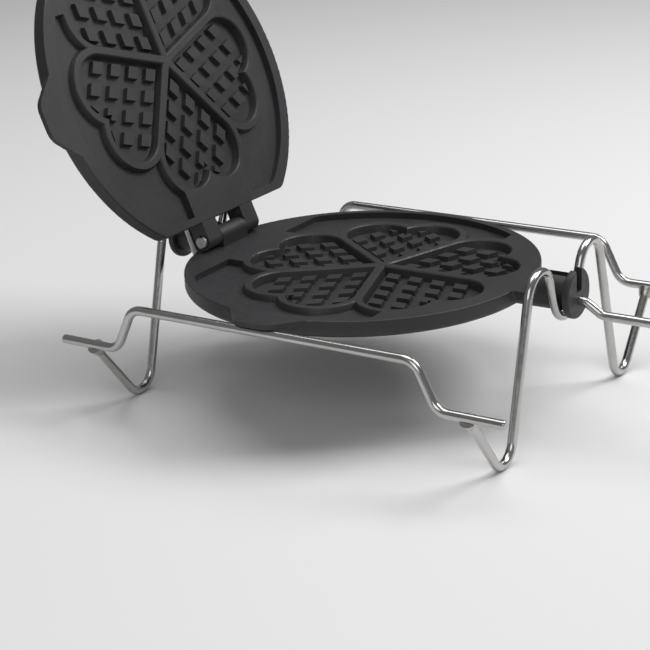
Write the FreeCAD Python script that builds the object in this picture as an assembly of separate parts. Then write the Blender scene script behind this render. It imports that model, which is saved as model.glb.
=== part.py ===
import FreeCAD, Part
import math
import os

from FreeCAD import Vector

# Rotating waffle iron on a wire rack, in millimetres, with +Z up.
# The origin lies on the ground, midway between the four feet and under the turn axis.
# The turn axis runs along X, with the hinge towards -X and the handles towards +X.
# The two castings are drawn closed round their own centre, and the lid is then swung open.

# Castings
plate_radius = 98.8           # round edge of a plate
plate_depth = 9.4             # parting face to back
chord_cut = 18.2              # how far the lid's straight hinge edge cuts into the round
chord_corner_radius = 9.0
back_edge_radius = 3.0
lip_edge_radius = 0.8
parting_gap = 0.3             # between the closed plates
lip_width = 8.0               # flat lip along the lid's round edge
chord_lip_width = 4.6         # flat lip along the lid's straight edge
base_lip_width = 5.0          # flat lip along the lower plate's edge
base_chord_lip_width = 10.2   # straight end of the lower groove from the lid's straight edge
moat_depth = 3.6              # overflow groove between the lip and the hearts
moat_end = 53.0               # the groove stops here towards the handles, from the plate's centre
hinge_land_width = 57.0       # flat between the hinge and the hearts
back_rim_width = 8.5
chord_rim_width = 4.0         # narrower, so that the open lid clears the cradle loops as the iron turns
back_recess_depth = 1.5

# Heart pockets
heart_count = 5
flower_offset = 12.5          # middle of the hearts from the plate's centre, towards the handles
flower_margin = 10.3          # plate edge to the nearest pocket
lobe_angle = 14.6             # a lobe's middle from its heart's own axis, in degrees
divider_width = 5.0
ridge_width = 4.6
pocket_depth = 5.2
pocket_draft = 1.0            # a pocket's walls lean in by this much at its floor
ridge_ease = 0.7              # chamfer along both edges of a ridge
moat_draft = 0.8              # a ridge's outer wall leans out by this much at the groove's floor
stud_pitch = 13.8             # along either straight side of a heart
stud_size = 8.4
stud_height = 2.8
stud_draft = 0.5              # each side leans in by this much
stud_wall_gap = 3.0           # channel between the studs and the pocket's wall
stud_least_share = 0.12       # cut studs smaller than this share of a whole one are left out

# Necks that turn in the rack
neck_radius = 10.0
neck_clearance = 0.3
arm_length = 13.0             # plate edge to the handle neck
arm_corner_radius = 8.0       # hollow corners between the plate and its arm
arm_corner_depth = 5.6        # height of these corners, from the parting face
arm_corner_sink = 0.4         # how far they run out inside the plate's edge
arm_corner_inset = 3.0        # how far they run out inside the arm's round side
boss_gap = 0.5                # lid's arm to the handle neck
flange_radius = 13.5
flange_width = 4.0
flange_edge_radius = 1.2
handle_end_gap = 1.5          # handle flange to its cradle wire as the iron lies
hinge_end_gap = 12.3          # hinge flange to its cradle wire as the iron lies

# Hinge
hinge_rise = 5.5              # hinge axis above the parting plane
hinge_slot = 5.0              # window between the lid's straight edge and the knuckle
knuckle_width = 23.4
ear_width = 12.4
ear_side_gap = 0.3
ear_overlap = 3.0             # how far the ears reach into the lid
neck_root_gap = 4.5           # knuckle to the hinge neck
pin_radius = 2.5
ear_fit = 0.02                # radial, the pin turns with the lid
knuckle_fit = 0.08            # radial, running
pin_head_radius = 3.8
pin_head_width = 1.6
pin_head_edge = 1.0
pin_end_gap = 0.15

# Rest lugs
lug_thickness = 2.85
lug_overhang = 3.0            # beyond the side wire's axis
lug_rest_gap = 0.3
lug_shift = 1.0               # middle of the lug from the plate's centre, towards the handles
lug_foot_width = 62.0         # along the lug's root
lug_tip_width = 19.0          # along its outer edge, before the corners are rounded
lug_corner_radius = 10.0
lug_root = 12.0               # how far the lug's root lies inside the plate edge

# Rack
wire_radius = 2.5
axis_height = 72.0            # turn axis above the ground
side_wire_gap = 9.4           # plate edge to a side wire's axis
side_wire_overhang = 21.0     # free end beyond a cradle
step_rise = 24.5              # raised run above the free ends
step_inset = 22.5             # cradle to the middle of a step
step_slope = 64.0             # in degrees
step_bend_radius = 10.0
cradle_gap = 16.1             # plate's radius to half the distance between the cradles
iron_shift = -8.7             # plate's centre from the rack's middle, towards the handles
loop_radius = 13.0
loop_half_width = 30.0        # top loops from the turn axis, sideways
loop_rise = 6.0               # loop centres above the turn axis
foot_radius = 11.0
foot_half_width = 72.0        # feet from the turn axis, sideways
weld_gap = 0.4
weld_radius = 4.6
weld_length = 4.5
weld_toe = 0.6                # thickness of the bead where it runs out on the cradle wire
wire_end_radius = 1.0
lid_loop_gap = 2.15           # open lid's back to the cradle loops that it leans towards

# Handles
handle_offset = 3.8           # wire axis from the parting plane inside its bore
handle_drop = 10.2            # wire axis from the parting plane along the grip
handle_bend_radius = 7.0
handle_bend_gap = 1.5         # flange to the first bend
handle_slope = 33.0           # in degrees
handle_length = 222.0         # flange to the middle of the eye
eye_radius = 11.0
eye_neck_radius = 10.0
eye_neck_straight = 1.0       # straight wire between the neck's bend and the eye's
eye_end_angle = 152.0         # where the turned wire stops, in degrees
handle_bite = 12.0            # wire inside the lid's arm, with the dowel across its middle
handle_fit = 0.05
bore_end_gap = 0.3
slot_side_gap = 0.6
slot_floor_gap = 0.3
dowel_radius = 1.2
dowel_fit = 0.02
dowel_recess = 0.3

# Places worked out from the sizes above
chord_offset = plate_radius - chord_cut
lip_face = -parting_gap / 2
back_face = lip_face - plate_depth
cradle_offset = plate_radius + cradle_gap
side_wire_offset = plate_radius + side_wire_gap
raised_run_height = axis_height + lip_face - lug_thickness - lug_rest_gap - wire_radius
lower_run_height = raised_run_height - step_rise
flange_offset = cradle_offset - iron_shift + wire_radius + handle_end_gap
iron_end = flange_offset + flange_width
hinge_end = cradle_offset + iron_shift + wire_radius + hinge_end_gap + flange_width
arm_end = plate_radius + arm_length
boss_end = arm_end - boss_gap
hinge_offset = chord_offset + hinge_slot + hinge_rise
hinge_neck_offset = hinge_offset + hinge_rise + neck_root_gap
hinge_axis = Vector(-hinge_offset, 0, hinge_rise)
ear_radius = hinge_rise - parting_gap
ear_start = knuckle_width / 2 + ear_side_gap
ear_end = ear_start + ear_width
bore_end = boss_end - handle_bite
dowel_offset = boss_end - handle_bite / 2
half_sector = math.pi / heart_count
same_height = 0.001           # edges closer than this to a height lie on it

AXIS_X = Vector(1, 0, 0)
AXIS_Y = Vector(0, 1, 0)
AXIS_Z = Vector(0, 0, 1)


def box(x_range, y_range, z_range):
    """Upright box between three pairs of limits."""
    sizes = [high - low for low, high in (x_range, y_range, z_range)]
    return Part.makeBox(*sizes, Vector(x_range[0], y_range[0], z_range[0]))


def prism(face, low, high):
    """Flat face, drawn at height zero, raised between two heights."""
    moved = face.translated(Vector(0, 0, low))
    return moved.extrude(Vector(0, 0, high - low))


def polygon(points):
    """Flat face through points given as x, y pairs."""
    corners = [Vector(x, y, 0) for x, y in points]
    return Part.Face(Part.makePolygon(corners + corners[:1]))


def level_edges(shape, height):
    """Edges that lie flat at a height."""
    boxes = [(edge, edge.BoundBox) for edge in shape.Edges]
    return [edge for edge, limits in boxes if max(limits.ZMax - height, height - limits.ZMin) < same_height]


def rounded_polygon(corners):
    """Flat face through x, y, radius corners, each rounded by its own radius."""
    edges = []
    stops = []
    for index, (x, y, radius) in enumerate(corners):
        corner = Vector(x, y, 0)
        before = Vector(*corners[index - 1][:2], 0) - corner
        after = Vector(*corners[(index + 1) % len(corners)][:2], 0) - corner
        before.normalize()
        after.normalize()
        half = before.getAngle(after) / 2
        reach = radius / math.tan(half)
        stops.append((corner + before * reach, corner + after * reach))
        if radius:
            bisector = before + after
            bisector.normalize()
            middle = corner + bisector * (radius / math.sin(half) - radius)
            edges.append(Part.Arc(stops[-1][0], middle, stops[-1][1]).toShape())
    for (_, leave), (arrive, _) in zip(stops, stops[1:] + stops[:1]):
        edges.append(Part.LineSegment(leave, arrive).toShape())
    return Part.Face(Part.Wire(Part.__sortEdges__(edges)))


def bent_run(rounds, place, trim=0.0, end_angle=None):
    """Straight runs tangent to a row of rounds, as edges.

    A round is u, v and a radius that is positive where the run turns left, and zero at a plain end.
    place turns u and v into a point in space. trim shortens both plain ends. With end_angle, in
    degrees, the run stops on its last round instead of at a plain end.
    """
    arrive = [None] * len(rounds)
    leave = [None] * len(rounds)
    for index, ((u0, v0, r0), (u1, v1, r1)) in enumerate(zip(rounds, rounds[1:])):
        span = math.hypot(u1 - u0, v1 - v0)
        heading = math.atan2(v1 - v0, u1 - u0) - math.asin((r1 - r0) / span)
        across = (-math.sin(heading), math.cos(heading))
        start_trim = trim if index == 0 else 0.0
        stop_trim = trim if index == len(rounds) - 2 and end_angle is None else 0.0
        leave[index] = (u0 - r0 * across[0] + start_trim * math.cos(heading),
                        v0 - r0 * across[1] + start_trim * math.sin(heading))
        arrive[index + 1] = (u1 - r1 * across[0] - stop_trim * math.cos(heading),
                             v1 - r1 * across[1] - stop_trim * math.sin(heading))
    if end_angle is not None:
        u, v, radius = rounds[-1]
        turn = math.radians(end_angle)
        leave[-1] = (u + abs(radius) * math.cos(turn), v + abs(radius) * math.sin(turn))
    edges = []
    for index, (u, v, radius) in enumerate(rounds):
        if arrive[index] and leave[index] and radius:
            first = math.atan2(arrive[index][1] - v, arrive[index][0] - u)
            last = math.atan2(leave[index][1] - v, leave[index][0] - u)
            sweep = (last - first) % (2 * math.pi) if radius > 0 else -((first - last) % (2 * math.pi))
            middle = first + sweep / 2
            high = (u + abs(radius) * math.cos(middle), v + abs(radius) * math.sin(middle))
            edges.append(Part.Arc(place(*arrive[index]), place(*high), place(*leave[index])).toShape())
        if index + 1 < len(rounds):
            edges.append(Part.LineSegment(place(*leave[index]), place(*arrive[index + 1])).toShape())
    return edges


def double_bend(shift, bend, slope):
    """Length of a double bend that moves a wire sideways by shift, with its slope in degrees."""
    turn = math.radians(slope)
    straight = (shift - 2 * bend * (1 - math.cos(turn))) / math.sin(turn)
    return 2 * bend * math.sin(turn) + straight * math.cos(turn)


def wire_solid(edges):
    """Round wire along a row of edges, with eased ends."""
    path = Part.Wire(edges)
    start = edges[0].firstVertex().Point
    section = Part.Wire(Part.makeCircle(wire_radius, start, edges[0].tangentAt(edges[0].FirstParameter)))
    solid = path.makePipeShell([section], True, False)
    ends = [face for face in solid.Faces if isinstance(face.Surface, Part.Plane)]
    return solid.makeFillet(wire_end_radius, [edge for face in ends for edge in face.Edges])


def plate_outline(inset, chord_inset):
    """Round plate with a straight hinge edge and rounded corners, drawn in by the insets."""
    radius = plate_radius - inset
    chord = chord_offset - chord_inset
    corner = chord_corner_radius
    across = math.sqrt((radius - corner) ** 2 - (chord - corner) ** 2)
    middle = Vector(corner - chord, across, 0)
    on_round = middle * (radius / (radius - corner))
    on_chord = Vector(-chord, across, 0)
    bisector = Vector(-1, 0, 0) + middle.normalize()
    bisector.normalize()
    corner_top = Vector(corner - chord, across, 0) + bisector * corner

    def below(point):
        return Vector(point.x, -point.y, 0)

    edges = [
        Part.Arc(below(on_round), Vector(radius, 0, 0), on_round).toShape(),
        Part.Arc(on_round, corner_top, on_chord).toShape(),
        Part.LineSegment(on_chord, below(on_chord)).toShape(),
        Part.Arc(below(on_chord), below(corner_top), below(on_round)).toShape(),
    ]
    return Part.Face(Part.Wire(edges))


# Hearts: each fills one sector round the flower's middle, with its own axis along +X while it is drawn
flower_reach = plate_radius - flower_margin - flower_offset
lobe_tilt = math.radians(lobe_angle)
lobe_slope = math.sin(half_sector - lobe_tilt)
lobe_radius = (flower_reach * lobe_slope - divider_width / 2) / (1 + lobe_slope)
lobe_offset = flower_reach - lobe_radius
lobe_middle = (lobe_offset * math.cos(lobe_tilt), lobe_offset * math.sin(lobe_tilt))


def disc(low_radius, high_radius, low, high, x, y):
    """Upright disc between two heights, straight or tapered."""
    base = Vector(x, y, low)
    if low_radius == high_radius:
        return Part.makeCylinder(low_radius, high - low, base)
    return Part.makeCone(low_radius, high_radius, high - low, base)


def heart_solid(low, high, low_inset, high_inset):
    """One heart between two heights, drawn in by its own inset at each."""
    x, y = lobe_middle
    loops = []
    for height, inset in ((low, low_inset), (high, high_inset)):
        radius = lobe_radius - inset
        side = (x - radius * math.sin(half_sector), y + radius * math.cos(half_sector))
        tip = (divider_width / 2 + inset) / math.sin(half_sector)
        corners = [(tip, 0), (side[0], -side[1]), (x, -y), (x, y), side]
        loops.append(polygon(corners).OuterWire.translated(Vector(0, 0, height)))
    body = Part.makeLoft(loops, True, True)
    radii = (lobe_radius - low_inset, lobe_radius - high_inset)
    return body.fuse([disc(*radii, low, high, x, sign * y) for sign in (-1, 1)]).removeSplitter()


def stud(u, v):
    """Tapered rhombic stud, with its middle u and v along the two straight sides of the heart."""
    rows = []
    for height, draft in ((-pocket_depth, 0.0), (stud_height - pocket_depth, stud_draft)):
        half = stud_size / 2 - draft
        row = []
        for du, dv in ((-half, -half), (half, -half), (half, half), (-half, half)):
            along = (u + du + v + dv) * math.cos(half_sector)
            across = (u + du - v - dv) * math.sin(half_sector)
            row.append(Vector(along, across, lip_face + height))
        rows.append(row)
    low, high = rows
    sides = [[low[i], low[i - 1], high[i - 1], high[i]] for i in range(len(low))]
    faces = [Part.Face(Part.makePolygon(loop + loop[:1])) for loop in [low, high] + sides]
    return Part.makeSolid(Part.makeShell(faces))


def heart_pocket():
    """Hollow of one heart, with the studs left standing in it."""
    floor = lip_face - pocket_depth
    room = heart_solid(floor, lip_face, stud_wall_gap, stud_wall_gap)
    first = (divider_width / 2 + stud_wall_gap) / math.sin(2 * half_sector) + stud_size / 2
    whole = stud(first, first).Volume
    rows = math.ceil(flower_reach / stud_pitch)
    ease_start = lip_face - ridge_ease
    ease_end = lip_face + parting_gap
    mouth = heart_solid(ease_start, ease_end, 0.0, ease_start - ease_end)
    pocket = heart_solid(floor, ease_start, pocket_draft, 0.0).fuse(mouth)
    studs = []
    for i in range(rows):
        for j in range(rows):
            piece = stud(first + i * stud_pitch, first + j * stud_pitch).common(room)
            if piece.Volume > stud_least_share * whole:
                studs.append(piece)
    return pocket.cut(studs)


def flower_solid(low, high, low_width, high_width):
    """All hearts filled in, with a ridge of its own width at each of two heights round them."""
    turns = [2 * half_sector * index + side * lobe_tilt for index in range(heart_count) for side in (-1, 1)]
    middles = [(lobe_offset * math.cos(turn), lobe_offset * math.sin(turn)) for turn in turns]
    radii = (lobe_radius + low_width, lobe_radius + high_width)
    lobes = [disc(*radii, low, high, x, y) for x, y in middles]
    return prism(polygon(middles), low, high).fuse(lobes).removeSplitter()


def on_flower(shape):
    """Shape turned so that one divider points at the handles, and moved to the flower's middle."""
    turned = shape.copy()
    turned.rotate(Vector(), AXIS_Z, math.degrees(half_sector))
    return turned.translated(Vector(flower_offset, 0, 0))


def heart_pockets():
    """The hollows of all hearts."""
    first = heart_pocket()
    pockets = []
    for index in range(heart_count):
        pocket = first.copy()
        pocket.rotate(Vector(), AXIS_Z, math.degrees(2 * half_sector * index))
        pockets.append(on_flower(pocket))
    return pockets


def overflow_moat(lip, chord_lip):
    """Groove between the lips and the hearts, open neither to the hinge nor to the handles."""
    floor = lip_face - moat_depth
    top = lip_face + parting_gap
    groove = prism(plate_outline(lip, chord_lip), floor, top)
    handle_land = box((moat_end, plate_radius), (-plate_radius, plate_radius), (floor, top))
    half_land = hinge_land_width / 2
    hinge_land = box((-plate_radius, flower_offset), (-half_land, half_land), (floor, top))
    ease_start = lip_face - ridge_ease
    walls = flower_solid(floor, ease_start, ridge_width + moat_draft, ridge_width)
    crest = flower_solid(ease_start, top, ridge_width, ridge_width + ease_start - top)
    return groove.cut([handle_land, hinge_land, on_flower(walls), on_flower(crest)])


def plate_blank(outline):
    """Plate before anything is cut into it, with eased edges."""
    blank = prism(outline, back_face, lip_face)
    blank = blank.makeFillet(back_edge_radius, level_edges(blank, back_face))
    return blank.makeFillet(lip_edge_radius, level_edges(blank, lip_face))


def rest_lug():
    """Flat lug that lies on a side wire's raised run and keeps the iron level."""
    root = lug_root - plate_radius
    outer = -(side_wire_offset + lug_overhang)
    corners = [
        (lug_shift - lug_foot_width / 2, root, 0.0),
        (lug_shift + lug_foot_width / 2, root, 0.0),
        (lug_shift + lug_tip_width / 2, outer, lug_corner_radius),
        (lug_shift - lug_tip_width / 2, outer, lug_corner_radius),
    ]
    return prism(rounded_polygon(corners), lip_face - lug_thickness, lip_face)


def handle_arm():
    """Half-round arm towards the handles, with hollow corners where it leaves the plate."""
    start = plate_radius - back_rim_width / 2
    arm = Part.makeCylinder(neck_radius, boss_end - start, Vector(start, 0, 0), AXIS_X)
    lower_half = box((start, boss_end), (-neck_radius, neck_radius), (-neck_radius, lip_face))
    side = neck_radius - arm_corner_inset
    reach = plate_radius + arm_corner_radius - arm_corner_sink
    across = side + arm_corner_radius
    along = math.sqrt(reach ** 2 - across ** 2)
    foot = across * plate_radius / reach
    web = polygon([(start, foot), (along, foot), (along, -foot), (start, -foot)])
    heights = (lip_face - arm_corner_depth, lip_face)
    radii = (arm_corner_radius, arm_corner_radius)
    hollows = [disc(*radii, *heights, along, sign * across) for sign in (1, -1)]
    return prism(web, *heights).cut(hollows), arm.common(lower_half)


def half_iron(outline, lip, chord_lip):
    """Casting that both halves share but for outlines and lips, drawn below the parting plane."""
    blank = plate_blank(outline).fuse([rest_lug(), *handle_arm()])
    recess = prism(plate_outline(back_rim_width, chord_rim_width), back_face, back_face + back_recess_depth)
    return blank.cut([recess, overflow_moat(lip, chord_lip), *heart_pockets()])


def flange(start):
    """Eased disc on the turn axis."""
    disc = Part.makeCylinder(flange_radius, flange_width, Vector(start, 0, 0), AXIS_X)
    return disc.makeFillet(flange_edge_radius, disc.Edges)


def handle_bore(start, stop, height):
    """Bore along X for a handle wire."""
    return Part.makeCylinder(wire_radius + handle_fit, stop - start, Vector(start, 0, height), AXIS_X)


def dowel(radius, side, low, high):
    """Upright dowel through a handle wire, above or below the parting plane."""
    ends = sorted((side * low, side * high))
    return Part.makeCylinder(radius, ends[1] - ends[0], Vector(dowel_offset, 0, ends[0]))


def dowel_hole(side):
    """Hole for a dowel, from the arm's back to just past the wire."""
    return dowel(dowel_radius + dowel_fit, side, handle_offset - wire_radius, neck_radius)


def lower_plate():
    """Lower casting, fully round, with the knuckle, both necks and their flanges."""
    round_edge = Part.Face(Part.Wire(Part.makeCircle(plate_radius)))
    handle_neck = Part.makeCylinder(neck_radius, iron_end - arm_end, Vector(arm_end, 0, 0), AXIS_X)
    hinge_neck_end = Vector(-hinge_end, 0, 0)
    hinge_neck = Part.makeCylinder(neck_radius, hinge_end - hinge_neck_offset, hinge_neck_end, AXIS_X)
    tongue = Part.makeCylinder(neck_radius, hinge_end - hinge_offset, hinge_neck_end, AXIS_X)
    half_knuckle = knuckle_width / 2
    knuckle_side = (-half_knuckle, half_knuckle)
    below = box((-hinge_end, 0), (-neck_radius, neck_radius), (-neck_radius, lip_face))
    knuckle_start = hinge_axis - AXIS_Y * half_knuckle
    barrel = Part.makeCylinder(hinge_rise, knuckle_width, knuckle_start, AXIS_Y)
    block = box((-hinge_offset - hinge_rise, hinge_rise - hinge_offset), knuckle_side, (lip_face, hinge_rise))
    joined = half_iron(round_edge, base_lip_width, base_chord_lip_width).fuse([
        handle_neck, hinge_neck, tongue.common(below), barrel, block,
        flange(flange_offset), flange(-hinge_end),
        box((boss_end, arm_end), (-neck_radius, neck_radius), (-neck_radius, lip_face)).common(
            Part.makeCylinder(neck_radius, arm_end, Vector(), AXIS_X)),
    ])
    pin_bore = Part.makeCylinder(pin_radius + knuckle_fit, knuckle_width, knuckle_start, AXIS_Y)
    half_slot = wire_radius + slot_side_gap
    slot_floor = handle_offset - wire_radius - slot_floor_gap
    slot = box((arm_end, iron_end), (-half_slot, half_slot), (slot_floor, flange_radius))
    bore = handle_bore(bore_end, iron_end, -handle_offset)
    return joined.cut([pin_bore, slot, bore, dowel_hole(-1)]).removeSplitter()


def upper_plate():
    """Lid casting, closed, with the two hinge ears."""
    joined = half_iron(plate_outline(0.0, 0.0), lip_width, chord_lip_width).mirror(Vector(), AXIS_Z)
    holes = [handle_bore(bore_end, boss_end, handle_offset), dowel_hole(1)]
    for start in (-ear_end, ear_start):
        foot = hinge_axis + AXIS_Y * start
        barrel = Part.makeCylinder(ear_radius, ear_width, foot, AXIS_Y)
        heights = (hinge_rise - ear_radius, hinge_rise + ear_radius)
        arm = box((-hinge_offset, ear_overlap - chord_offset), (start, start + ear_width), heights)
        joined = joined.fuse([barrel, arm])
        holes.append(Part.makeCylinder(pin_radius + ear_fit, ear_width, foot, AXIS_Y))
    return joined.cut(holes).removeSplitter()


def hinge_pin():
    """Pin with a rounded head at each end."""
    half = ear_end + pin_end_gap
    pin = Part.makeCylinder(pin_radius, 2 * half, hinge_axis - AXIS_Y * half, AXIS_Y)
    for side in (-1, 1):
        outward = AXIS_Y * side
        head = Part.makeCylinder(pin_head_radius, pin_head_width, hinge_axis + outward * half, outward)
        outer = [edge for edge in head.Edges if abs(edge.CenterOfMass.y) > half + pin_head_width / 2]
        crown = [edge for edge in outer if edge.BoundBox.YLength < pin_head_edge]
        pin = pin.fuse(head.makeFillet(pin_head_edge, crown))
    return pin


def handle(side):
    """Handle wire of the lower half (side -1) or the lid (side 1), ending in a level turned eye."""
    bend = handle_bend_radius
    first_bend = iron_end + handle_bend_gap
    second_bend = first_bend + double_bend(handle_drop - handle_offset, bend, handle_slope)
    eye_middle = iron_end + handle_length
    neck_run = math.sqrt(eye_radius ** 2 + 2 * eye_radius * eye_neck_radius) + eye_neck_straight
    grip_end = eye_middle - neck_run
    grip_middle = (second_bend + grip_end) / 2
    reach = [(bore_end + bore_end_gap, handle_offset, 0.0), (first_bend, handle_offset + bend, bend),
             (second_bend, handle_drop - bend, -bend), (grip_middle, handle_drop, 0.0)]
    turned = [(grip_middle, 0.0, 0.0), (grip_end, -eye_neck_radius, -eye_neck_radius),
              (eye_middle, 0.0, eye_radius)]
    run = bent_run(reach, lambda u, v: Vector(u, 0, side * v))
    eye = bent_run(turned, lambda u, v: Vector(u, v, side * handle_drop), end_angle=eye_end_angle)
    return wire_solid(run + eye)


def side_wire(side):
    """Long rack wire with a raised middle run, at the front (side -1) or the back (side 1)."""
    end = cradle_offset + side_wire_overhang
    middle = cradle_offset - step_inset
    bend = step_bend_radius
    half_step = double_bend(step_rise, bend, step_slope) / 2
    foot = (middle + half_step, lower_run_height + bend)
    head = (middle - half_step, raised_run_height - bend)
    rounds = [(-end, lower_run_height, 0.0), (-foot[0], foot[1], bend), (-head[0], head[1], -bend),
              (head[0], head[1], -bend), (foot[0], foot[1], bend), (end, lower_run_height, 0.0)]
    return wire_solid(bent_run(rounds, lambda u, v: Vector(u, side * side_wire_offset, v)))


def cradle_wire(side):
    """M-shaped rack wire at the hinge (side -1) or the handles (side 1), whose valley carries a neck."""
    valley = neck_radius + neck_clearance + wire_radius
    loop_height = axis_height + loop_rise
    foot_height = wire_radius + foot_radius
    rounds = [(-side_wire_offset, lower_run_height, 0.0), (-foot_half_width, foot_height, foot_radius),
              (-loop_half_width, loop_height, -loop_radius), (0.0, axis_height, valley),
              (loop_half_width, loop_height, -loop_radius), (foot_half_width, foot_height, foot_radius),
              (side_wire_offset, lower_run_height, 0.0)]
    edges = bent_run(rounds, lambda u, v: Vector(side * cradle_offset, u, v), trim=wire_radius + weld_gap)
    return wire_solid(edges)


def weld_bead(x_side, y_side):
    """Bead round the end of a cradle wire, under a side wire."""
    run = side_wire_offset - foot_half_width
    rise = lower_run_height - wire_radius - foot_radius
    slope = math.atan2(rise, run) + math.asin(foot_radius / math.hypot(run, rise))
    outwards = Vector(0, y_side * math.cos(slope), math.sin(slope))
    joint = Vector(x_side * cradle_offset, y_side * side_wire_offset, lower_run_height)
    start = joint - outwards * (wire_radius + weld_length)
    bead = Part.makeCone(wire_radius + weld_toe, weld_radius, weld_length + weld_toe, start, outwards)
    side = Part.makeCylinder(wire_radius, 4 * weld_radius, joint - AXIS_X * 2 * weld_radius, AXIS_X)
    cradle = Part.makeCylinder(wire_radius, weld_length - weld_gap, start, outwards)
    return bead.cut([side, cradle])


def lid_open_angle():
    """Angle from closed at which the lid's back clears the hinge cradle's loops by lid_loop_gap."""
    x = iron_shift - hinge_offset + cradle_offset
    z = loop_rise + loop_radius - hinge_rise
    depth = -back_face - hinge_rise + wire_radius + lid_loop_gap
    return 180.0 - math.degrees(math.asin(depth / math.hypot(x, z)) - math.atan2(-z, x))


def placed(shape, swing=0.0):
    """Piece of the iron moved into the rack, after swinging it open about the hinge."""
    moved = shape.copy()
    moved.rotate(hinge_axis, AXIS_Y * -1, swing)
    return moved.translated(Vector(iron_shift, 0, axis_height))


def build():
    """All pieces by name."""
    swing = lid_open_angle()
    pieces = {}
    pieces["lower_plate"] = placed(lower_plate())
    pieces["upper_plate"] = placed(upper_plate(), swing)
    pieces["hinge_pin"] = placed(hinge_pin(), swing)
    for name, side, angle in (("lower", -1, 0.0), ("upper", 1, swing)):
        grip = handle(side).cut(dowel(dowel_radius + dowel_fit, side, 0.0, neck_radius))
        pieces[name + "_handle"] = placed(grip, angle)
        peg = dowel(dowel_radius, side, handle_offset - wire_radius, neck_radius - dowel_recess)
        pieces[name + "_handle_dowel"] = placed(peg, angle)
    for y_side, edge in ((-1, "front"), (1, "back")):
        pieces[edge + "_side_wire"] = side_wire(y_side)
    for x_side, end in ((-1, "hinge"), (1, "handle")):
        pieces[end + "_cradle_wire"] = cradle_wire(x_side)
        for y_side, edge in ((-1, "front"), (1, "back")):
            pieces[edge + "_" + end + "_weld"] = weld_bead(x_side, y_side)
    return pieces


os.makedirs("parts", exist_ok=True)
for node, piece in build().items():
    piece.exportStep("parts/" + node + ".step")
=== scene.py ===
"""Looks of a rotating waffle iron on its wire rack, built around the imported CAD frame."""
from __future__ import annotations

import logging
import math
from dataclasses import dataclass
from enum import Enum

import bmesh
import bpy
from mathutils import Matrix, Vector

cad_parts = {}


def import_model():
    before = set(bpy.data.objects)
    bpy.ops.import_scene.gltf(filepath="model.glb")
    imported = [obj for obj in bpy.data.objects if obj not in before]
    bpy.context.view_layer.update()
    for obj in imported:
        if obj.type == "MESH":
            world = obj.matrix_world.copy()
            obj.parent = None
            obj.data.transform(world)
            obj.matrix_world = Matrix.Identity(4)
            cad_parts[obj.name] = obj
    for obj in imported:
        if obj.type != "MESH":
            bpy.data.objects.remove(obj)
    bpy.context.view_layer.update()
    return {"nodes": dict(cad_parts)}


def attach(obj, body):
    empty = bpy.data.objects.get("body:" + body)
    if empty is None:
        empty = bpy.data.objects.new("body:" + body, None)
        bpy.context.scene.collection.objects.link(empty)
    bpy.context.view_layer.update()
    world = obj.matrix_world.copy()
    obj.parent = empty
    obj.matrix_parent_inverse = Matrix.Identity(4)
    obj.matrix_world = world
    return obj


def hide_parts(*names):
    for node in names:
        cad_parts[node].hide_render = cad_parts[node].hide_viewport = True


LOG = logging.getLogger("waffle_iron")
Colour = tuple[float, float, float]
Place = tuple[float, float, float]

# Noise of the surface grain: label, default scale, detail and roughness
GRAIN_LAYERS = (("Fine", 1500.0, 3.0, 0.6), ("Coarse", 260.0, 2.0, 0.5), ("Blotch", 22.0, 4.0, 0.55))
TONE_SPAN = (0.35, 0.68)
GLOSS_SPAN = (0.3, 0.7)
BUMP_STRENGTH = 0.6
COARSE_BUMP_SHARE = 1.6
EDGE_SAMPLES = 6

# Clean-up of a casting's mesh before its edges are eased
WELD_DISTANCE = 2e-6
FLAT_ANGLE = math.radians(0.6)
BEVEL_SEGMENTS = 2


class Slot(Enum):
    """Material slots of the record."""

    IRON = "seasoned_iron"
    WIRE = "bright_wire"
    PIN = "pin_steel"
    WELD = "weld_steel"


class Body(Enum):
    """Rigid bodies of the part."""

    RACK = "rack"
    IRON = "iron"
    LID = "lid"


class Graph:
    """Short calls for filling one shader node tree."""

    def __init__(self, tree: bpy.types.NodeTree) -> None:
        """Keep the tree that the calls fill.

        Args:
            tree: Material or group tree.
        """
        self.tree = tree

    def add(self, kind: str, values: dict | None = None, **settings) -> bpy.types.Node:
        """Add a node.

        Args:
            kind: Blender's node type.
            values: Default values by input name.
            settings: Attributes of the node itself.

        Returns:
            The new node.
        """
        node = self.tree.nodes.new(kind)
        for name, value in settings.items():
            setattr(node, name, value)
        for name, value in (values or {}).items():
            node.inputs[name].default_value = value
        return node

    def link(self, source: bpy.types.Node, out: str | int, target: bpy.types.Node, into: str | int) -> None:
        """Join one node's output to another node's input.

        Args:
            source: Node that gives.
            out: Its output.
            target: Node that takes.
            into: Its input.
        """
        self.tree.links.new(source.outputs[out], target.inputs[into])

    def ramp(self, stops: list[tuple[float, Colour]]) -> bpy.types.Node:
        """Add a colour ramp.

        Args:
            stops: Position and colour of each stop, in order.

        Returns:
            The ramp node.
        """
        node = self.add("ShaderNodeValToRGB")
        elements = node.color_ramp.elements
        while len(elements) < len(stops):
            elements.new(1.0)
        for element, (position, colour) in zip(elements, stops):
            element.position = position
            element.color = (*colour, 1.0)
        return node


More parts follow.
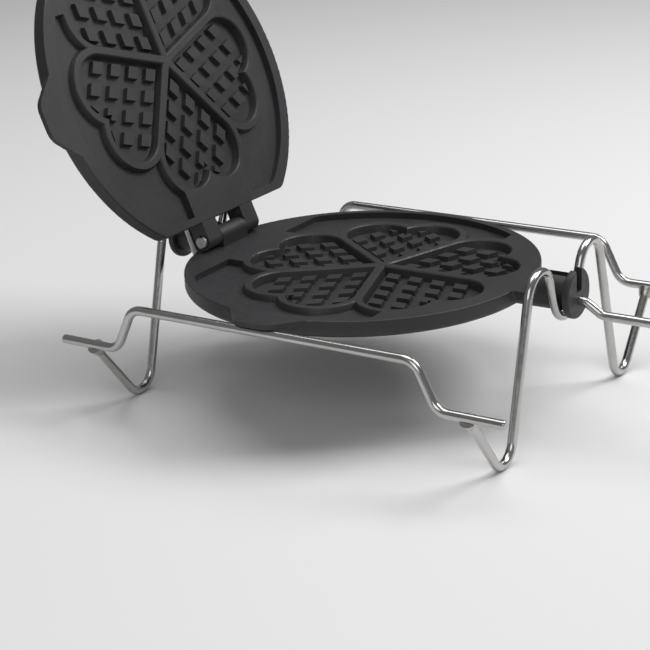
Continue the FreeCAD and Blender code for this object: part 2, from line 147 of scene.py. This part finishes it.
def new_group(
    name: str, inputs: dict[str, float], outputs: dict[str, str]
) -> tuple[Graph, bpy.types.Node, bpy.types.Node]:
    """Start a shader node group with named sockets.

    Args:
        name: Name of the group.
        inputs: Float inputs with their default values.
        outputs: Outputs with their socket types.

    Returns:
        The group's graph, its input node and its output node.
    """
    tree = bpy.data.node_groups.new(name, "ShaderNodeTree")
    for label, value in inputs.items():
        socket = tree.interface.new_socket(name=label, in_out="INPUT", socket_type="NodeSocketFloat")
        socket.default_value = value
    for label, kind in outputs.items():
        tree.interface.new_socket(name=label, in_out="OUTPUT", socket_type=kind)
    graph = Graph(tree)
    return graph, graph.add("NodeGroupInput"), graph.add("NodeGroupOutput")


def grain_group() -> bpy.types.NodeTree:
    """Build the surface grain that the castings and the steel share.

    Returns:
        Group with a fine height, a coarse height and a blotch mask, from Object coordinates.
    """
    graph, given, result = new_group(
        "surface_grain",
        {f"{label} scale": scale for label, scale, _, _ in GRAIN_LAYERS},
        {label: "NodeSocketFloat" for label, _, _, _ in GRAIN_LAYERS},
    )
    place = graph.add("ShaderNodeTexCoord")
    for label, _, detail, roughness in GRAIN_LAYERS:
        noise = graph.add("ShaderNodeTexNoise", {"Detail": detail, "Roughness": roughness})
        graph.link(place, "Object", noise, "Vector")
        graph.link(given, f"{label} scale", noise, "Scale")
        graph.link(noise, "Fac", result, label)
    return graph.tree


def edge_group() -> bpy.types.NodeTree:
    """Build the mask of sharp edges, where a painted highlight is laid.

    Returns:
        Group with a mask that is one on sharp edges and falls to zero on flats.
    """
    graph, given, result = new_group(
        "painted_edge_highlight", {"Width": 0.0008, "Reach": 0.3}, {"Mask": "NodeSocketFloat"}
    )
    bevel = graph.add("ShaderNodeBevel", samples=EDGE_SAMPLES)
    flat = graph.add("ShaderNodeNewGeometry")
    match = graph.add("ShaderNodeVectorMath", operation="DOT_PRODUCT")
    fall = graph.add("ShaderNodeMapRange", {"From Min": 1.0, "To Min": 0.0, "To Max": 1.0})
    below = graph.add("ShaderNodeMath", {0: 1.0}, operation="SUBTRACT")
    graph.link(given, "Width", bevel, "Radius")
    graph.link(bevel, "Normal", match, 0)
    graph.link(flat, "Normal", match, 1)
    graph.link(given, "Reach", below, 1)
    graph.link(below, 0, fall, "From Max")
    graph.link(match, "Value", fall, "Value")
    graph.link(fall, "Result", result, "Mask")
    return graph.tree


@dataclass(frozen=True)
class SharedEffects:
    """Node groups that several finishes use."""

    grain: bpy.types.NodeTree
    edges: bpy.types.NodeTree

    @staticmethod
    def build() -> SharedEffects:
        """Make every shared group once.

        Returns:
            The groups.
        """
        return SharedEffects(grain_group(), edge_group())


@dataclass(frozen=True)
class Finish:
    """What every finish has: a name, two tones, a roughness span, a bump and a painted highlight on sharp
    edges.
    """

    name: str
    dark: Colour
    light: Colour
    smooth: float
    rough: float
    metallic: float
    bump_depth: float
    fine_scale: float
    coarse_scale: float
    edge_highlight_tone: Colour
    edge_width: float
    edge_highlight_strength: float

    def material(self, effects: SharedEffects) -> bpy.types.Material:
        """Build the finish as a material.

        Args:
            effects: Shared node groups.

        Returns:
            The material.
        """
        material = bpy.data.materials.new(self.name)
        material.use_nodes = True
        material.node_tree.nodes.clear()
        graph = Graph(material.node_tree)
        output = graph.add("ShaderNodeOutputMaterial")
        surface = graph.add("ShaderNodeBsdfPrincipled", {"Metallic": self.metallic})
        graph.link(surface, "BSDF", output, "Surface")
        grain = graph.add("ShaderNodeGroup", node_tree=effects.grain)
        grain.inputs["Fine scale"].default_value = self.fine_scale
        grain.inputs["Coarse scale"].default_value = self.coarse_scale
        edges = graph.add("ShaderNodeGroup", node_tree=effects.edges)
        edges.inputs["Width"].default_value = self.edge_width
        self.colour(graph, grain, edges, surface)
        self.roughness(graph, grain, surface)
        self.relief(graph, grain, surface)
        return material

    def colour(
        self, graph: Graph, grain: bpy.types.Node, edges: bpy.types.Node, surface: bpy.types.Node
    ) -> None:
        """Blotchy tone with a painted highlight: paler colour on sharp edges.

        Args:
            graph: Material graph.
            grain: Grain group node.
            edges: Edge mask group node, which places the painted highlight.
            surface: Principled shader.
        """
        tone = graph.ramp(list(zip(TONE_SPAN, (self.dark, self.light))))
        graph.link(grain, "Blotch", tone, "Fac")
        # Painted highlight: the edge mask mixes the colour of sharp edges towards the paler edge tone.
        share = graph.add("ShaderNodeMath", {1: self.edge_highlight_strength}, operation="MULTIPLY")
        graph.link(edges, "Mask", share, 0)
        edge_highlighted = graph.add("ShaderNodeMix", data_type="RGBA")
        edge_highlighted.inputs["B"].default_value = (*self.edge_highlight_tone, 1.0)
        graph.link(share, 0, edge_highlighted, "Factor")
        graph.link(tone, "Color", edge_highlighted, "A")
        graph.link(edge_highlighted, "Result", surface, "Base Color")

    def roughness(self, graph: Graph, grain: bpy.types.Node, surface: bpy.types.Node) -> None:
        """Uneven gloss.

        Args:
            graph: Material graph.
            grain: Grain group node.
            surface: Principled shader.
        """
        lowest, highest = GLOSS_SPAN
        limits = {"From Min": lowest, "From Max": highest, "To Min": self.smooth, "To Max": self.rough}
        span = graph.add("ShaderNodeMapRange", limits)
        graph.link(grain, "Coarse", span, "Value")
        graph.link(span, "Result", surface, "Roughness")

    def relief(self, graph: Graph, grain: bpy.types.Node, surface: bpy.types.Node) -> None:
        """Fine grain over a coarser one.

        Args:
            graph: Material graph.
            grain: Grain group node.
            surface: Principled shader.
        """
        coarse_depth = self.bump_depth * COARSE_BUMP_SHARE
        coarse = graph.add("ShaderNodeBump", {"Strength": BUMP_STRENGTH, "Distance": coarse_depth})
        fine = graph.add("ShaderNodeBump", {"Strength": BUMP_STRENGTH, "Distance": self.bump_depth})
        graph.link(grain, "Coarse", coarse, "Height")
        graph.link(grain, "Fine", fine, "Height")
        graph.link(coarse, "Normal", fine, "Normal")
        graph.link(fine, "Normal", surface, "Normal")


# Each finish's edge tone and strength paint a highlight on its sharp edges.
SEASONED_IRON = Finish(
    name="seasoned_iron", dark=(0.0185, 0.018, 0.0195), light=(0.028, 0.027, 0.0295),
    smooth=0.44, rough=0.58,
    metallic=0.0, bump_depth=0.00006, fine_scale=1500.0, coarse_scale=300.0,
    edge_highlight_tone=(0.06, 0.058, 0.061), edge_width=0.0008, edge_highlight_strength=0.5,
)
BRIGHT_WIRE = Finish(
    name="bright_wire", dark=(0.46, 0.452, 0.44), light=(0.56, 0.55, 0.535), smooth=0.15, rough=0.24,
    metallic=1.0, bump_depth=0.000004, fine_scale=2400.0, coarse_scale=420.0,
    edge_highlight_tone=(0.56, 0.55, 0.535), edge_width=0.0003, edge_highlight_strength=0.2,
)
PIN_STEEL = Finish(
    name="pin_steel", dark=(0.3, 0.295, 0.29), light=(0.42, 0.413, 0.405), smooth=0.24, rough=0.36,
    metallic=1.0, bump_depth=0.000008, fine_scale=2600.0, coarse_scale=500.0,
    edge_highlight_tone=(0.52, 0.51, 0.5), edge_width=0.0003, edge_highlight_strength=0.4,
)
WELD_STEEL = Finish(
    name="weld_steel", dark=(0.40, 0.37, 0.33), light=(0.58, 0.56, 0.53), smooth=0.24, rough=0.42,
    metallic=1.0, bump_depth=0.00012, fine_scale=1300.0, coarse_scale=700.0,
    edge_highlight_tone=(0.66, 0.65, 0.63), edge_width=0.0004, edge_highlight_strength=0.3,
)


def dress(piece: bpy.types.Object, material: bpy.types.Material) -> None:
    """Give a piece one material.

    Args:
        piece: CAD node or new piece.
        material: Its finish.
    """
    piece.data.materials.clear()
    piece.data.materials.append(material)


def softened_copy(
    node: bpy.types.Object, body: Body, bevel: float, sharp_angle: float
) -> bpy.types.Object:
    """Copy a CAD node with its sharp edges eased, and let the copy stand for the node.

    Args:
        node: CAD node.
        body: Body that the copy rides on.
        bevel: Width of the eased edge, in metres.
        sharp_angle: Edges that turn by more than this, in radians, are eased.

    Returns:
        The new piece.
    """
    shape = bmesh.new()
    shape.from_mesh(node.data)
    bmesh.ops.remove_doubles(shape, verts=shape.verts, dist=WELD_DISTANCE)
    bmesh.ops.dissolve_limit(shape, angle_limit=FLAT_ANGLE, verts=shape.verts, edges=shape.edges)
    sharp = [edge for edge in shape.edges if edge.is_manifold and edge.calc_face_angle() > sharp_angle]
    bmesh.ops.bevel(shape, geom=sharp, offset=bevel, offset_type="OFFSET", segments=BEVEL_SEGMENTS,
                    profile=0.5, affect="EDGES", clamp_overlap=True, material=-1)
    mesh = bpy.data.meshes.new(f"{node.name}_cast")
    shape.to_mesh(mesh)
    shape.free()
    mesh.shade_smooth()
    piece = bpy.data.objects.new(f"{node.name}_cast", mesh)
    bpy.context.scene.collection.objects.link(piece)
    weighted = piece.modifiers.new("flat_faces", "WEIGHTED_NORMAL")
    weighted.keep_sharp = True
    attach(piece, body.value)
    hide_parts(node.name)
    return piece


@dataclass
class Castings:
    """The two cast plates with their necks, lugs and hinge."""

    bevel: float = 0.0007
    sharp_angle: float = math.radians(32.0)

    def build(self, nodes: dict[str, bpy.types.Object]) -> list[bpy.types.Object]:
        """Ease the edges of both castings.

        Args:
            nodes: CAD nodes by name.

        Returns:
            The eased castings.
        """
        bodies = {"lower_plate": Body.IRON, "upper_plate": Body.LID}
        return [softened_copy(nodes[name], body, self.bevel, self.sharp_angle)
                for name, body in bodies.items()]

    def dress(self, pieces: list[bpy.types.Object], material: bpy.types.Material) -> None:
        """Give every casting its iron finish.

        Args:
            pieces: The eased castings.
            material: Their finish.
        """
        for piece in pieces:
            dress(piece, material)


@dataclass
class Wirework:
    """Rack wires, handle wires, pins and welds, which keep their CAD shapes."""

    wires: tuple[str, ...] = (
        "front_side_wire", "back_side_wire", "hinge_cradle_wire", "handle_cradle_wire",
        "lower_handle", "upper_handle",
    )
    pins: tuple[str, ...] = ("hinge_pin", "lower_handle_dowel", "upper_handle_dowel")
    welds: tuple[str, ...] = (
        "front_hinge_weld", "back_hinge_weld", "front_handle_weld", "back_handle_weld",
    )

    def dress(self, nodes: dict[str, bpy.types.Object], materials: dict[Slot, bpy.types.Material]) -> None:
        """Give every wire, pin and weld its finish.

        Args:
            nodes: CAD nodes by name.
            materials: Finishes by slot.
        """
        for names, slot in ((self.wires, Slot.WIRE), (self.pins, Slot.PIN), (self.welds, Slot.WELD)):
            for name in names:
                dress(nodes[name], materials[slot])
                LOG.info("dressed %s", name)


@dataclass(frozen=True)
class Softbox:
    """Square soft lamp."""

    name: str
    place: Place
    size: float
    power: float


@dataclass
class Studio:
    """Floor, soft light and camera."""

    floor_half: float = 6.0
    floor_tone: Colour = (0.8, 0.8, 0.8)
    floor_roughness: float = 0.9
    world_tone: Colour = (0.2, 0.2, 0.205)
    softboxes: tuple[Softbox, ...] = (
        Softbox("key_softbox", (0.75, 0.75, 1.3), 0.8, 16.0),
        Softbox("top_softbox", (-0.2, 0.2, 1.7), 1.2, 12.0),
        Softbox("fill_softbox", (0.6, -1.4, 0.9), 1.0, 5.5),
    )
    lamp_target: Place = (0.0, 0.0, 0.12)
    eye: Place = (0.5045, -0.8171, 0.385)
    azimuth: float = math.radians(33.4546)
    elevation: float = math.radians(19.9417)
    roll: float = math.radians(-2.7142)
    lens: float = 101.249
    sensor: float = 36.0

    def build(self) -> None:
        """Set up the whole studio."""
        self.floor()
        self.world()
        for softbox in self.softboxes:
            self.lamp(softbox)
        self.camera()
        bpy.context.scene.view_settings.view_transform = "Standard"

    def floor(self) -> None:
        """Lay a plain pale floor."""
        shape = bmesh.new()
        bmesh.ops.create_grid(shape, x_segments=1, y_segments=1, size=self.floor_half)
        mesh = bpy.data.meshes.new("floor")
        shape.to_mesh(mesh)
        shape.free()
        floor = bpy.data.objects.new("floor", mesh)
        bpy.context.scene.collection.objects.link(floor)
        material = bpy.data.materials.new("pale_floor")
        material.use_nodes = True
        surface = material.node_tree.nodes["Principled BSDF"]
        surface.inputs["Base Color"].default_value = (*self.floor_tone, 1.0)
        surface.inputs["Roughness"].default_value = self.floor_roughness
        mesh.materials.append(material)

    def world(self) -> None:
        """Light the scene evenly from all round."""
        world = bpy.data.worlds.new("studio")
        world.use_nodes = True
        world.node_tree.nodes["Background"].inputs["Color"].default_value = (*self.world_tone, 1.0)
        bpy.context.scene.world = world

    def lamp(self, softbox: Softbox) -> None:
        """Hang a square softbox that faces the iron.

        Args:
            softbox: Where it hangs, how large it is and its power in watts.
        """
        light = bpy.data.lights.new(softbox.name, "AREA")
        light.size = softbox.size
        light.energy = softbox.power
        lamp = bpy.data.objects.new(softbox.name, light)
        lamp.location = softbox.place
        aim = Vector(self.lamp_target) - lamp.location
        lamp.rotation_euler = aim.to_track_quat("-Z", "Y").to_euler()
        bpy.context.scene.collection.objects.link(lamp)

    def camera(self) -> None:
        """Place the camera at the photograph's viewing angle."""
        level = math.cos(self.elevation)
        along, across = math.cos(self.azimuth), math.sin(self.azimuth)
        back = Vector((across * level, -along * level, math.sin(self.elevation)))
        right = Vector((along, across, 0.0))
        right.rotate(Matrix.Rotation(self.roll, 3, back))
        axes = Matrix((right, back.cross(right), back)).transposed()
        lens = bpy.data.cameras.new("camera")
        lens.lens = self.lens
        lens.sensor_width = self.sensor
        camera = bpy.data.objects.new("camera", lens)
        camera.matrix_world = Matrix.Translation(self.eye) @ axes.to_4x4()
        bpy.context.scene.collection.objects.link(camera)
        bpy.context.scene.camera = camera


def main() -> None:
    """Build the iron, dress it and set up the studio."""
    logging.basicConfig(level=logging.INFO)
    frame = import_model()
    effects = SharedEffects.build()
    finishes = {
        Slot.IRON: SEASONED_IRON, Slot.WIRE: BRIGHT_WIRE, Slot.PIN: PIN_STEEL, Slot.WELD: WELD_STEEL,
    }
    materials = {slot: finish.material(effects) for slot, finish in finishes.items()}
    castings = Castings()
    pieces = castings.build(frame["nodes"])
    castings.dress(pieces, materials[Slot.IRON])
    for piece in pieces:
        LOG.info("built %s with %d faces", piece.name, len(piece.data.polygons))
    Wirework().dress(frame["nodes"], materials)
    Studio().build()


if __name__ == "__main__":
    main()
